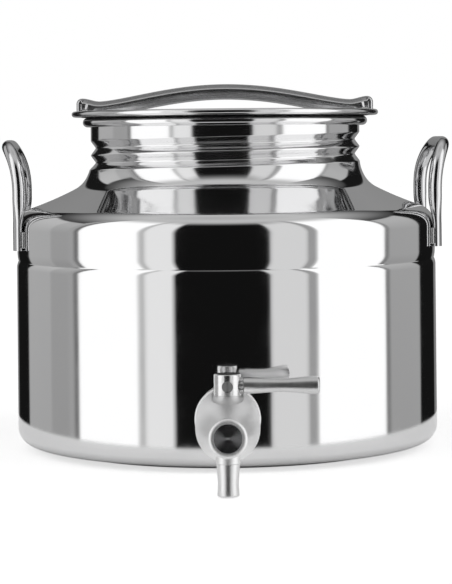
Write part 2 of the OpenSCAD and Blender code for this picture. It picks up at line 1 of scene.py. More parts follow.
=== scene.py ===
"""Milk can with a lever tap: the looks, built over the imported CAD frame.

Lengths in the tables below are millimetres; every mesh is built in metres in the CAD frame,
with the base's centre at the origin, +Z up and the tap towards -Y.
"""

import math

import bmesh
import bpy
import numpy as np
from mathutils import Matrix, Quaternion, Vector


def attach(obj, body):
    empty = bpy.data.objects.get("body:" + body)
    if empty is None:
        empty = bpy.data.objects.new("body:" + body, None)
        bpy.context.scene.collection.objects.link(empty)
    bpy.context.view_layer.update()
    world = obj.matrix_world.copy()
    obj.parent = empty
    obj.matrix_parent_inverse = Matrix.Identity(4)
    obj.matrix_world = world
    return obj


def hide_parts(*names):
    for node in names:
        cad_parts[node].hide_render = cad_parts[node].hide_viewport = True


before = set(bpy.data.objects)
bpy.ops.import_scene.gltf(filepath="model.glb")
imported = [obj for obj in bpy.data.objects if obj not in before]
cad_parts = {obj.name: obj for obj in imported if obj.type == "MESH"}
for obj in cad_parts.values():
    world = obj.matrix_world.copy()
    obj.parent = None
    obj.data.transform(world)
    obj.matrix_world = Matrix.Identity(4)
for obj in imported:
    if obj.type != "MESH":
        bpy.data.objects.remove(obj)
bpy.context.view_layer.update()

MM = 0.001
scene = bpy.context.scene

# The can's shells
SHEET = 0.8
BODY_R, UPPER_R = 110.0, 109.7
FOOT_R = 8.0
BASE_R, BASE_H, BASE_RUN, BASE_MID_R = 93.0, 2.5, 6.0, 45.0
SEAM_Z, SEAM_GAP = 97.5, 0.4
LOWER_DIP, LOWER_CURL = 0.83, 6.6
UPPER_DIP, UPPER_CURL = 0.53, 17.7
CORNER_Z, CORNER_R = 114.5, 10.7
SLOPE_LOW, SLOPE_HIGH = math.radians(19), math.radians(27)
FLARE_R, FOOT_SLOPE = 14.6, math.radians(28)
NECK_FOOT_R, NECK_R, NECK_H = 73.2, 70.8, 31.3
NECK_FOOT_H = 2 * (NECK_FOOT_R - NECK_R) / math.tan(FOOT_SLOPE)
RIM_R = 2.45
CORNER_END_R = UPPER_R - CORNER_R * (1 - math.sin(SLOPE_LOW))
CORNER_END_Z = CORNER_Z + CORNER_R * math.cos(SLOPE_LOW)
FLARE_LOW_R = NECK_FOOT_R + FLARE_R * (math.cos(FOOT_SLOPE) - math.sin(SLOPE_HIGH))
SHOULDER_R = (CORNER_END_R - FLARE_LOW_R) / (math.sin(SLOPE_HIGH) - math.sin(SLOPE_LOW))
FLARE_LOW_Z = CORNER_END_Z + SHOULDER_R * (math.cos(SLOPE_LOW) - math.cos(SLOPE_HIGH))
MOUTH_Z = FLARE_LOW_Z + FLARE_R * (math.cos(SLOPE_HIGH) - math.sin(FOOT_SLOPE))
RIM_TOP = MOUTH_Z + NECK_H

# The pressed thread that the neck and the lid share
PITCH, DEPTH, THREAD_TURNS, THREAD_FADE, THREAD_ROUND = 7.7, 2.5, 1.55, 0.13, 0.97
THREAD_Z = MOUTH_Z + 7.6

# The lid
LID_TOP = RIM_TOP + 0.1 + 2.4 + 0.05 + SHEET
LID_WALL_R, LID_BEND = NECK_R - SHEET - 0.7, 0.8
PAN_R, PAN_CORNER, PAN_RISE, PAN_MID_R, PAN_Z = 65.9, 4.0, 3.4, 30.0, LID_TOP - 30.6
FLANGE_R, HEM_R = 80.7, 1.5

# The lid's bridge handle
BRIDGE_HALF, BRIDGE_DIP_X, BRIDGE_DIP_H, BRIDGE_RISE, BRIDGE_CURL_H = 78.2, 66.0, 5.4, 8.5, 7.0
BRIDGE_W, BRIDGE_T, BRIDGE_SIDE, BRIDGE_SIDE_X = 18.0, 1.4, 8.0, 75.3
BRIDGE_BASE, BRIDGE_EDGE, BRIDGE_LIP, CURL_R = LID_TOP + 0.05, 1.1, 3.4, 3.0
BRIDGE_CROWN, BRIDGE_NOTCH_X, BRIDGE_NOTCH = 2.2, 71.6, 0.9

# The side handles
TUBE_R, LEG_HALF, BEND_R = 3.5, 30.0, 18.0
FOOT_Z, GRIP_Z, GRIP_X = 103.9, 157.1, 113.2
FOOT_T, FOOT_W, HANDLE_TURN, LEG_SET = 4.5, 8.6, 2.3, 0.9
SET_LOW, SET_HIGH, FLAT_TOP, ROUND_LOW = FOOT_Z + 11, FOOT_Z + 25, FOOT_Z + 12, FOOT_Z + 26
LEAN_LOW, LEAN_POWER = FOOT_Z + 28, 2.5

# The tap
TAP_Z, TAP_FRONT = 27.0, 183.0
VALVE_D, SPOUT_D = 129.5, 174.5
TAP_HOLE_R = 8.5
SPOUT_TIP, SPOUT_TOP = 0.4, TAP_Z - 11.85
SPOUT_WAIST_R, SPOUT_WAIST_Z, SPOUT_BORE_R, SPOUT_TAIL_R = 4.75, SPOUT_TIP + 5.4, 3.3, 4.55
SPOUT_TOP_FLARE, SPOUT_TIP_FLARE = 0.65, 0.25
END_PLUG_R, END_PLUG_L, END_PLUG_SET = 6.8, 5.2, 0.4
SEAL_GROOVE_BACK, SEAL_GROOVE_HALF, SEAL_GROOVE_DEPTH = 2.6, 0.8, 1.55
LEVER_Z, LEVER_L, GRIP_START = TAP_Z + 17.6, 43.2, 7.2
GRIP_WAIST_R, GRIP_ROOT_FLARE, GRIP_END_FLARE, GRIP_END_ROUND = 3.1, 0.75, 1.1, 1.2
ROD_HOLE_R, ROD_HOLE_END = 2.25, 24.05


def linear(hex_colour):
    """An sRGB hex colour as linear values."""
    values = [int(hex_colour[i : i + 2], 16) / 255 for i in (1, 3, 5)]
    values = [v / 12.92 if v <= 0.04045 else ((v + 0.055) / 1.055) ** 2.4 for v in values]
    return (*values, 1.0)


def add(tree, kind, *values, inputs=None, **settings):
    """Adds a node. Inputs go by place or by name; a node or a socket is linked, anything else is set."""
    made = tree.nodes.new(kind)
    for name, value in settings.items():
        setattr(made, name, value)
    for key, value in (*enumerate(values), *(inputs or {}).items()):
        if isinstance(value, bpy.types.Node):
            value = value.outputs[0]
        if isinstance(value, bpy.types.NodeSocket):
            tree.links.new(value, made.inputs[key])
        else:
            made.inputs[key].default_value = value
    return made


MATH, RANGE, MIX, VECTOR = "ShaderNodeMath", "ShaderNodeMapRange", "ShaderNodeMix", "ShaderNodeVectorMath"


def arc(centre, radius, start, end, steps):
    """Points along an arc, in degrees."""
    angles = np.radians(np.linspace(start, end, steps + 1))
    return np.c_[centre[0] + radius * np.cos(angles), centre[1] + radius * np.sin(angles)]


def ease(low, high, x):
    """Smooth step from 0 at low to 1 at high."""
    t = np.clip((np.asarray(x, float) - low) / (high - low), 0, 1)
    return t * t * (3 - 2 * t)


def piece(name, points, faces, material, sharp=35):
    """An object from points in millimetres, smooth apart from edges over the given angle."""
    mesh = bpy.data.meshes.new(name)
    mesh.from_pydata((np.asarray(points) * MM).tolist(), [], faces)
    work = bmesh.new()
    work.from_mesh(mesh)
    bmesh.ops.remove_doubles(work, verts=work.verts, dist=1e-7)
    bmesh.ops.dissolve_degenerate(work, edges=work.edges, dist=1e-8)
    bmesh.ops.recalc_face_normals(work, faces=work.faces)
    work.to_mesh(mesh)
    work.free()
    mesh.shade_smooth()
    mesh.set_sharp_from_angle(angle=math.radians(sharp))
    mesh.materials.append(material)
    made = bpy.data.objects.new(name, mesh)
    scene.collection.objects.link(made)
    return made


def lathe(name, outline, material, segments=300, closed=True, sharp=35):
    """Turns an outline of [radius, height] round Z; a closed outline joins its last point to its first."""
    outline = np.asarray(outline, float)
    rows = len(outline)
    angle = np.linspace(0, 2 * math.pi, segments, endpoint=False)
    points = np.stack(
        [
            outline[:, :1] * np.cos(angle),
            outline[:, :1] * np.sin(angle),
            np.repeat(outline[:, 1:], segments, 1),
        ],
        -1,
    ).reshape(-1, 3)
    faces = []
    for j in range(rows if closed else rows - 1):
        k = (j + 1) % rows
        if outline[j, 0] == 0 and outline[k, 0] == 0:
            continue
        for i in range(segments):
            m = (i + 1) % segments
            faces.append((j * segments + i, j * segments + m, k * segments + m, k * segments + i))
    return piece(name, points, faces, material, sharp)


def plain_mesh(source, name):
    """The evaluated object as a plain mesh object of its own; the source goes away."""
    graph = bpy.context.evaluated_depsgraph_get()
    mesh = bpy.data.meshes.new_from_object(source.evaluated_get(graph))
    mesh.name = name
    made = bpy.data.objects.new(name, mesh)
    scene.collection.objects.link(made)
    bpy.data.objects.remove(source)
    return made


# Materials


def new_material(name):
    """A material with a Principled surface: itself, its tree, the surface and the object's coordinates."""
    made = bpy.data.materials.new(name)
    made.use_nodes = True
    tree = made.node_tree
    tree.nodes.clear()
    surface = add(tree, "ShaderNodeBsdfPrincipled")
    add(tree, "ShaderNodeOutputMaterial", surface)
    where = add(tree, "ShaderNodeTexCoord").outputs["Object"]
    return made, tree, surface, where


def polished_sheet(name, rough):
    """Stainless sheet buffed to a mirror: it shows the room, with faint smears and the slow waves of
    drawn metal."""
    made, tree, surface, where = new_material(name)
    surface.inputs["Metallic"].default_value = 1.0
    smear = add(tree, "ShaderNodeTexNoise", inputs={"Vector": where, "Scale": 1 / (18 * MM), "Detail": 5.0})
    shade = add(tree, MIX, smear, data_type="RGBA", inputs={6: linear("#E6E6E7"), 7: linear("#E9E9E9")})
    tree.links.new(shade.outputs[2], surface.inputs["Base Color"])
    gloss = add(tree, RANGE, smear, 0.35, 0.75, rough - 0.02, rough + 0.02)
    tree.links.new(gloss.outputs[0], surface.inputs["Roughness"])
    wave = add(tree, "ShaderNodeTexNoise", inputs={"Vector": where, "Scale": 1 / (45 * MM), "Detail": 1.0})
    bump = add(tree, "ShaderNodeBump", inputs={"Strength": 0.25, "Distance": 0.25 * MM, "Height": wave})
    tree.links.new(bump.outputs[0], surface.inputs["Normal"])
    return made


def lined_steel(name, dark, light, rough, grain, depth):
    """Stainless with the fine lines of a tool; grain is the lines' size along X, Y and Z in millimetres,
    and depth is how deep they are."""
    made, tree, surface, where = new_material(name)
    surface.inputs["Metallic"].default_value = 1.0
    along = add(tree, "ShaderNodeMapping", inputs={"Vector": where, "Scale": [1 / (g * MM) for g in grain]})
    lines = add(tree, "ShaderNodeTexNoise", inputs={"Vector": along, "Scale": 1.0, "Detail": 3.0})
    shade = add(tree, MIX, lines, data_type="RGBA", inputs={6: linear(dark), 7: linear(light)})
    tree.links.new(shade.outputs[2], surface.inputs["Base Color"])
    gloss = add(tree, RANGE, lines, 0.3, 0.7, rough - 0.03, rough + 0.03)
    tree.links.new(gloss.outputs[0], surface.inputs["Roughness"])
    bump = add(tree, "ShaderNodeBump", inputs={"Strength": 1.0, "Distance": depth * MM, "Height": lines})
    tree.links.new(bump.outputs[0], surface.inputs["Normal"])
    return made


def elastomer(name, dark, light, rough):
    """Moulded rubber: matte, with a fine bloom of lighter specks."""
    made, tree, surface, where = new_material(name)
    bloom = add(tree, "ShaderNodeTexNoise", inputs={"Vector": where, "Scale": 1 / (1.2 * MM), "Detail": 4.0})
    shade = add(tree, MIX, bloom, data_type="RGBA", inputs={6: linear(dark), 7: linear(light)})
    tree.links.new(shade.outputs[2], surface.inputs["Base Color"])
    surface.inputs["Roughness"].default_value = rough
    bump = add(tree, "ShaderNodeBump", inputs={"Strength": 0.2, "Distance": 0.05 * MM, "Height": bloom})
    tree.links.new(bump.outputs[0], surface.inputs["Normal"])
    return made


# Drawn and buffed sheet: a clear mirror
MIRROR = polished_sheet("mirror_polished_stainless_sheet", 0.065)
# Pressed neck, buffed by hand over its thread: a mirror with soft edges
NECK_SHEET = polished_sheet("buffed_pressed_stainless_neck", 0.1)
# Pressed lid, buffed less: the room blurs in its hem
LID_SHEET = polished_sheet("buffed_pressed_stainless_lid", 0.17)
# Drawn tube, buffed along its length: a mirror broken into long soft streaks
TUBE = lined_steel("buffed_stainless_tube", "#D9D9DA", "#E2E2E3", 0.12, (1.6, 1.6, 60.0), 0.02)
# Pressed strip, brushed along its length: soft bands of light and dark
BRIDGE = lined_steel("satin_pressed_stainless", "#D1D1D2", "#DADADB", 0.27, (30.0, 0.5, 0.5), 0.006)
# Turned barrel with a fine satin finish and broad soft highlights; its near-white base colour, brighter than
# the other steel, is painted light that keeps the barrel pale
BARREL_PAINTED_PALE = lined_steel("satin_turned_stainless_barrel_painted_pale", "#F5F5F5", "#FEFEFE", 0.48, (14.0, 0.5, 14.0), 0.003)
# Turned upright pieces, polished: nearly mirror-like, with faint rings
UPRIGHT = lined_steel(
    "polished_turned_stainless_upright", "#E1E1E1", "#EAEAEA", 0.24, (14.0, 14.0, 0.5), 0.0003
)
# Turned spout, left satin: light edges that fade into a grey middle
SPOUT = lined_steel("satin_turned_stainless_spout", "#E7E7E7", "#F0F0F0", 0.36, (14.0, 14.0, 0.5), 0.001)
# Turned lever with a finer satin finish: soft light and dark bands along it
LEVER = lined_steel("satin_turned_stainless_lever", "#DFDFDF", "#E8E8E8", 0.33, (0.5, 14.0, 14.0), 0.003)
# Faced end of the barrel's plug: dark, as it mirrors the black card, and darker still as its base colour is
# painted shade, greyer than the other steel; with a faint glow
END_FACE_PAINTED_DARK = lined_steel("faced_stainless_end_painted_dark", "#A5A5A7", "#AEAEB0", 0.2, (3.0, 3.0, 3.0), 0.004)
# Set screw: grey and dull
SCREW = lined_steel("plain_stainless_screw", "#C3C3C3", "#CCCCCC", 0.45, (2.0, 2.0, 2.0), 0.004)
# Welded beads, brushed clean: a dull broken shine
WELD = lined_steel("brushed_stainless_weld", "#B5B5B5", "#BEBEBE", 0.28, (0.8, 0.8, 0.8), 0.02)
# Seals of milky silicone and of black rubber: matte
SILICONE = elastomer("moulded_milky_silicone", "#D9D8D2", "#E6E5DF", 0.55)
NITRILE = elastomer("moulded_black_nitrile", "#121213", "#1E1E20", 0.5)

# Shells


def lower_line(depth):
    """The lower shell's outline at a depth below its outer face, from the axis up to the weld."""
    rise = LOWER_CURL * math.sin(math.acos(1 - LOWER_DIP / LOWER_CURL))
    high = math.degrees(math.asin(rise / (LOWER_CURL - depth)))
    share = np.linspace(0, 1, 17)
    return np.vstack(
        [
            [[0, depth]],
            [[BASE_MID_R, depth]],
            np.c_[BASE_R + BASE_RUN * (share - 0.5), depth + BASE_H * ease(0, 1, share)],
            arc((BODY_R - FOOT_R, FOOT_R + BASE_H), FOOT_R - depth, -90, 0, 28),
            arc((BODY_R - LOWER_CURL, SEAM_Z - SEAM_GAP / 2 - rise), LOWER_CURL - depth, 0, high, 12),
        ]
    )


def shoulder_line(depth):
    """The shoulder's outline at a depth below its outer face, from the weld up to the neck."""
    rise = UPPER_CURL * math.sin(math.acos(1 - UPPER_DIP / UPPER_CURL))
    low = math.degrees(math.asin(rise / (UPPER_CURL - depth)))
    near, far, foot = (math.degrees(slope) for slope in (SLOPE_LOW, SLOPE_HIGH, FOOT_SLOPE))
    hollow = (
        CORNER_END_R + SHOULDER_R * math.sin(SLOPE_LOW),
        CORNER_END_Z + SHOULDER_R * math.cos(SLOPE_LOW),
    )
    flare = (NECK_FOOT_R + FLARE_R * math.cos(FOOT_SLOPE), MOUTH_Z + FLARE_R * math.sin(FOOT_SLOPE))
    return np.vstack(
        [
            arc((UPPER_R - UPPER_CURL, SEAM_Z + SEAM_GAP / 2 + rise), UPPER_CURL - depth, -low, 0, 12),
            arc((UPPER_R - CORNER_R, CORNER_Z), CORNER_R - depth, 0, 90 - near, 36),
            arc(hollow, SHOULDER_R + depth, 270 - near, 270 - far, 16)[1:-1],
            arc(flare, FLARE_R + depth, 270 - far, 180 + foot, 28),
        ]
    )


def lower_shell():
    """The drawn base and wall, with the round hole that the tap's shank passes through."""
    outline = np.vstack([lower_line(0), lower_line(SHEET)[::-1]])
    shell = lathe("lower_shell_sheet", outline, MIRROR, 360, False)
    bpy.ops.mesh.primitive_cylinder_add(vertices=96, radius=TAP_HOLE_R * MM, depth=20 * MM)
    drill = bpy.context.object
    drill.data.transform(drill.matrix_world)
    drill.rotation_euler = (math.pi / 2, 0, 0)
    drill.location = (0, -BODY_R * MM, TAP_Z * MM)
    cut = shell.modifiers.new("tap_hole", "BOOLEAN")
    cut.object, cut.operation, cut.solver = drill, "DIFFERENCE", "EXACT"
    bpy.context.view_layer.update()
    made = plain_mesh(shell, "lower_shell_drawn")
    bpy.data.objects.remove(drill)
    made.data.set_sharp_from_angle(angle=math.radians(35))
    return made


# Rules in Geometry Nodes


def new_rule(name, sizes):
    """A tree that takes a shape, its sizes and a material."""
    tree = bpy.data.node_groups.new(name, "GeometryNodeTree")
    tree.is_modifier = True
    tree.interface.new_socket("Geometry", in_out="INPUT", socket_type="NodeSocketGeometry")
    for size in sizes:
        tree.interface.new_socket(size, in_out="INPUT", socket_type="NodeSocketFloat")
    tree.interface.new_socket("Material", in_out="INPUT", socket_type="NodeSocketMaterial")
    tree.interface.new_socket("Geometry", in_out="OUTPUT", socket_type="NodeSocketGeometry")
    return tree, add(tree, "NodeGroupInput").outputs


def end_rule(tree, given, shape):
    """Ends a tree: the shape is made real and given its material."""
    whole = add(tree, "GeometryNodeRealizeInstances", shape)
    coated = add(tree, "GeometryNodeSetMaterial", inputs={"Geometry": whole, "Material": given["Material"]})
    add(tree, "NodeGroupOutput", coated)
    return tree


def run_rule(source, tree, name, values):
    """Runs a tree on an object, its inputs set by identifier, and returns the result as a plain mesh."""
    rule = source.modifiers.new("rule", "NODES")
    rule.node_group = tree
    for item in tree.interface.items_tree:
        if item.in_out == "INPUT" and item.name in values:
            rule[item.identifier] = values[item.name]
    made = plain_mesh(source, name)
    for layer in ("thread_share", "thread_slack", "centre_line"):
        if layer in made.data.attributes:
            made.data.attributes.remove(made.data.attributes[layer])
    made.data.shade_smooth()
    made.data.set_sharp_from_angle(angle=math.radians(50))
    return made


def thread_rule():
    """Presses a right-hand vee thread into a turned wall.

    A point's thread_share says how much of it takes the thread, and its thread_slack how far it
    already lies inside the wall.
    """
    tree, given = new_rule(
        "pressed_thread", ("Pitch", "Depth", "Start Height", "First Turn", "Last Turn", "Fade")
    )
    fade = given["Fade"]
    x, y, z = add(tree, "ShaderNodeSeparateXYZ", add(tree, "GeometryNodeInputPosition")).outputs
    # The thread's first turn starts at -X, so half a turn comes off the angle.
    angle = add(tree, MATH, y, x, operation="ARCTAN2")
    turn = add(tree, MATH, angle, 1 / (2 * math.pi), -0.5, operation="MULTIPLY_ADD")
    rise = add(tree, MATH, z, given["Start Height"], operation="SUBTRACT")
    level = add(tree, MATH, rise, given["Pitch"], operation="DIVIDE")
    count = add(tree, MATH, add(tree, MATH, level, turn, operation="SUBTRACT"), operation="ROUND")
    root = add(tree, MATH, turn, count, operation="ADD")
    # The vee is 1 at its root and 0 at its crest, and both are rounded.
    least = math.acos(THREAD_ROUND) / math.pi
    part = add(tree, MATH, level, root, operation="SUBTRACT")
    swing = add(tree, MATH, add(tree, MATH, part, 2 * math.pi, operation="MULTIPLY"), operation="COSINE")
    swing = add(tree, MATH, swing, THREAD_ROUND, operation="MULTIPLY")
    vee = add(tree, MATH, swing, operation="ARCCOSINE")
    vee = add(tree, RANGE, vee, math.pi * (1 - least), math.pi * least, 0.0, 1.0)
    first_low = add(tree, MATH, given["First Turn"], fade, operation="SUBTRACT")
    last_high = add(tree, MATH, given["Last Turn"], fade, operation="ADD")
    press = add(tree, MATH, vee, given["Depth"], operation="MULTIPLY")
    for ends in ((first_low, given["First Turn"], 0.0, 1.0), (given["Last Turn"], last_high, 1.0, 0.0)):
        left = add(tree, RANGE, root, *ends, interpolation_type="SMOOTHSTEP")
        press = add(tree, MATH, press, left, operation="MULTIPLY")
    share, slack = (
        add(tree, "GeometryNodeInputNamedAttribute", data_type="FLOAT", inputs={"Name": name})
        for name in ("thread_share", "thread_slack")
    )
    press = add(tree, MATH, press, slack, operation="SUBTRACT")
    press = add(tree, MATH, press, 0.0, operation="MAXIMUM")
    press = add(tree, MATH, press, share, operation="MULTIPLY")
    inward = add(tree, VECTOR, add(tree, "ShaderNodeCombineXYZ", x, y), operation="NORMALIZE")
    back = add(tree, MATH, press, -1.0, operation="MULTIPLY")
    inward = add(tree, VECTOR, inward, operation="SCALE", inputs={"Scale": back})
    pressed = add(
        tree, "GeometryNodeSetPosition", inputs={"Geometry": given["Geometry"], "Offset": inward}
    )
    return end_rule(tree, given, pressed)


def tube_rule():
    """Sweeps a round tube along a path and squeezes it flat below a height."""
    tree, given = new_rule(
        "bent_tube", ("Tube Radius", "Foot Thickness", "Foot Width", "Flat Below", "Round Above")
    )
    place = add(tree, "GeometryNodeInputPosition")
    path = add(tree, "GeometryNodeMeshToCurve", given["Geometry"])
    kept = add(
        tree,
        "GeometryNodeStoreNamedAttribute",
        data_type="FLOAT_VECTOR",
        domain="POINT",
        inputs={"Geometry": path, "Name": "centre_line", "Value": place},
    )
    ring = add(
        tree,
        "GeometryNodeCurvePrimitiveCircle",
        mode="RADIUS",
        inputs={"Resolution": 36, "Radius": given["Tube Radius"]},
    )
    swept = add(
        tree,
        "GeometryNodeCurveToMesh",
        inputs={"Curve": kept, "Profile Curve": ring, "Fill Caps": True},
    )
    centre = add(
        tree, "GeometryNodeInputNamedAttribute", data_type="FLOAT_VECTOR", inputs={"Name": "centre_line"}
    )
    off = add(tree, VECTOR, place, centre, operation="SUBTRACT")
    x, y, z = add(tree, "ShaderNodeSeparateXYZ", centre).outputs
    outward = add(tree, VECTOR, add(tree, "ShaderNodeCombineXYZ", x, y), operation="NORMALIZE")
    across = add(tree, VECTOR, (0.0, 0.0, 1.0), outward, operation="CROSS_PRODUCT")
    flat = add(
        tree, RANGE, z, given["Flat Below"], given["Round Above"], 1.0, 0.0, interpolation_type="SMOOTHSTEP"
    )
    whole = add(tree, MATH, given["Tube Radius"], 2.0, operation="MULTIPLY")
    moves = []
    for way, size in ((outward, "Foot Thickness"), (across, "Foot Width")):
        change = add(tree, MATH, given[size], whole, operation="DIVIDE")
        change = add(tree, MATH, change, 1.0, operation="SUBTRACT")
        change = add(tree, MATH, change, flat, operation="MULTIPLY")
        reach = add(tree, VECTOR, off, way, operation="DOT_PRODUCT").outputs["Value"]
        reach = add(tree, MATH, reach, change, operation="MULTIPLY")
        moves.append(add(tree, VECTOR, way, operation="SCALE", inputs={"Scale": reach}))
    squeeze = add(tree, VECTOR, *moves, operation="ADD")
    pressed = add(tree, "GeometryNodeSetPosition", inputs={"Geometry": swept, "Offset": squeeze})
    return end_rule(tree, given, pressed)


def bead_rule():
    """Sets a drop on every point of a run, flattened along X and Z."""
    tree, given = new_rule("weld_bead", ("Drop Radius", "Length Along X", "Length Along Z"))
    drop = add(
        tree,
        "GeometryNodeMeshUVSphere",
        inputs={"Segments": 14, "Rings": 9, "Radius": given["Drop Radius"]},
    )
    points = add(tree, "GeometryNodeMeshToPoints", given["Geometry"])
    size = add(tree, "ShaderNodeCombineXYZ", given["Length Along X"], 1.0, given["Length Along Z"])
    row = add(
        tree, "GeometryNodeInstanceOnPoints", inputs={"Points": points, "Instance": drop, "Scale": size}
    )
    return end_rule(tree, given, row)


THREAD, BENT_TUBE, BEAD = thread_rule(), tube_rule(), bead_rule()

# The neck and the lid


def threaded(name, outline, share, slack, material, closed, first, last):
    """A turned sheet with the thread pressed into the rows that have a share of it."""
    blank = lathe(name + "_blank", outline, material, 300, closed)
    spots = np.array([spot.co for spot in blank.data.vertices]) / MM
    radius = np.hypot(spots[:, 0], spots[:, 1])
    apart = np.hypot(outline[None, :, 0] - radius[:, None], outline[None, :, 1] - spots[:, 2:])
    nearest = np.argmin(apart, axis=1)
    for key, values in (("thread_share", share), ("thread_slack", slack * MM)):
        layer = blank.data.attributes.new(key, "FLOAT", "POINT")
        layer.data.foreach_set("value", values.astype(np.float32)[nearest])
    sizes = {
        "Pitch": PITCH * MM,
        "Depth": DEPTH * MM,
        "Start Height": THREAD_Z * MM,
        "First Turn": first,
        "Last Turn": last,
        "Fade": THREAD_FADE,
        "Material": material,
    }
    return run_rule(blank, THREAD, name, sizes)


def neck():
    """The mouth collar: a foot that widens to the shoulder, the threaded wall and the rolled rim."""
    centre = (NECK_R - SHEET + RIM_R, RIM_TOP - RIM_R)
    meet = 180 + math.degrees(math.acos((centre[0] - NECK_R) / RIM_R))
    top = centre[1] + RIM_R * math.sin(math.radians(meet))
    levels = np.linspace(MOUTH_Z, top, 110)
    down = np.clip(1 - (levels - MOUTH_Z) / NECK_FOOT_H, 0, None)
    wall = NECK_R + (NECK_FOOT_R - NECK_R) * down**2
    roll = arc(centre, RIM_R, meet, 540, 40)[1:]
    outline = np.vstack([np.c_[wall, levels], roll, np.c_[wall - SHEET, levels][::-1]])
    share = np.r_[np.ones(len(levels)), np.zeros(len(roll)), np.ones(len(levels))]
    return threaded("neck_collar", outline, share, 0 * share, NECK_SHEET, True, 0.0, THREAD_TURNS)


def lid_pan():
    """The lid's pan: flat bottom, threaded wall, flange and hemmed edge."""
    low = PAN_Z + PAN_CORNER
    top = LID_TOP - SHEET - LID_BEND
    levels = np.linspace(low, top, 72)
    ramp = PAN_R + (LID_WALL_R - PAN_R) * ease(low, low + PAN_RISE, levels)
    bend = (LID_WALL_R + LID_BEND, top)
    hem = (FLANGE_R - HEM_R, LID_TOP - HEM_R)
    meet = 180 - math.degrees(math.asin((HEM_R - SHEET) / HEM_R))
    corner = (PAN_R - PAN_CORNER, low)
    under = np.vstack([[[0, PAN_Z]], [[PAN_MID_R, PAN_Z]], arc(corner, PAN_CORNER, -90, 0, 12)[:-1]])
    rim = np.vstack(
        [
            arc(bend, LID_BEND, 180, 90, 8)[1:],
            arc(hem, HEM_R, meet, 450, 36),
            arc(bend, LID_BEND + SHEET, 90, 180, 10)[:-1],
        ]
    )
    floor = PAN_Z + SHEET
    inside = np.vstack([arc(corner, PAN_CORNER - SHEET, 0, -90, 12)[1:], [[PAN_MID_R, floor]], [[0, floor]]])
    outline = np.vstack([under, np.c_[ramp, levels], rim, np.c_[ramp - SHEET, levels][::-1], inside])
    gap = LID_WALL_R - ramp
    share = np.zeros(len(outline))
    slack = np.zeros(len(outline))
    outer = slice(len(under), len(under) + len(levels))
    inner = slice(len(outline) - len(inside) - len(levels), len(outline) - len(inside))
    share[outer] = share[inner] = 1
    slack[outer], slack[inner] = gap, gap[::-1]
    # The lid's thread runs out at its pan, so its first turn is set well below that.
    return threaded("lid_pressed_pan", outline, share, slack, LID_SHEET, False, -9.0, THREAD_TURNS + 0.25)


# The lid's bridge


def bridge():
    """The pressed channel across the lid: a crowned top and two sides swept along the arch, each side
    stepped in near its ends, and the ends curled down to the flange."""

    def arch(x):
        return LID_TOP + BRIDGE_DIP_H + BRIDGE_RISE * np.clip(1 - (x / BRIDGE_DIP_X) ** 2, 0, None) ** 1.5

    curl = (BRIDGE_HALF - CURL_R, LID_TOP + BRIDGE_CURL_H - CURL_R)
    run = curl[0] - BRIDGE_DIP_X
    xs = np.linspace(0, BRIDGE_DIP_X, 60)[1:]
    share = np.linspace(0, 1, 30)[1:-1]
    climb = (BRIDGE_CURL_H - BRIDGE_DIP_H) * ease(0, 1, share)
    half = np.vstack(
        [
            np.c_[xs, arch(xs)],
            np.c_[BRIDGE_DIP_X + run * share, LID_TOP + BRIDGE_DIP_H + climb],
            arc(curl, CURL_R, 90, 0, 14),
            [[BRIDGE_HALF, BRIDGE_BASE]],
        ]
    )
    line = np.vstack([half[::-1] * [-1, 1], [[0, arch(0.0)]], half])
    step = np.vstack([line[1:2] - line[:1], line[2:] - line[:-2], line[-1:] - line[-2:-1]])
    step /= np.linalg.norm(step, axis=1)[:, None]
    up = np.c_[-step[:, 1], step[:, 0]]
    e, t = BRIDGE_EDGE, BRIDGE_T
    lip = t / 2.5
    points = []
    for (x, z), n in zip(line, up):
        w = BRIDGE_W / 2 - BRIDGE_NOTCH * ease(BRIDGE_NOTCH_X - 0.6, BRIDGE_NOTCH_X + 0.6, abs(x))
        ended = ease(BRIDGE_SIDE_X - 1.2, BRIDGE_SIDE_X + 0.4, abs(x))
        crown = BRIDGE_CROWN * (1 - 0.7 * ended)
        sides = min(BRIDGE_SIDE, (z - BRIDGE_BASE) / max(0.5, n[1]))
        d = BRIDGE_LIP + (sides - BRIDGE_LIP) * (1 - ended)
        across = np.linspace(w - e, 0, 9)
        dome = -crown * (across / (w - e)) ** 2
        slope = math.degrees(math.atan(2 * crown / (w - e)))
        turn = arc((0, 0), e, 0, 90 - slope, 6)
        turn += [w - e, -crown] - turn[-1]
        turn[:, 0] += w - turn[0, 0]
        inner_x = np.linspace(w - t, 0, 9)
        inner = -t - crown * (inner_x / (w - e)) ** 2
        outer_half = np.vstack([[[w, -d + lip]], turn, np.c_[across, dome][1:]])
        inner = np.maximum(inner, -d + 1.2 * lip)
        foot = [[w - lip, -d], [w - t + lip, -d], [w - t, -d + lip]]
        inner_half = np.vstack([foot, np.c_[inner_x, inner]])
        section = np.vstack(
            [outer_half, outer_half[-2::-1] * [-1, 1], inner_half * [-1, 1], inner_half[-2::-1]]
        )
        for y, v in section:
            points.append((x + v * n[0], y, z + v * n[1]))
    count = len(line)
    around = len(points) // count
    faces = []
    for j in range(count - 1):
        for i in range(around):
            m = (i + 1) % around
            faces.append((j * around + i, j * around + m, (j + 1) * around + m, (j + 1) * around + i))
    last = (count - 1) * around
    faces.append(tuple(range(around)))
    faces.append(tuple(last + i for i in reversed(range(around))))
    return piece("lid_bridge_channel", points, faces, BRIDGE, 50)


# The side handles


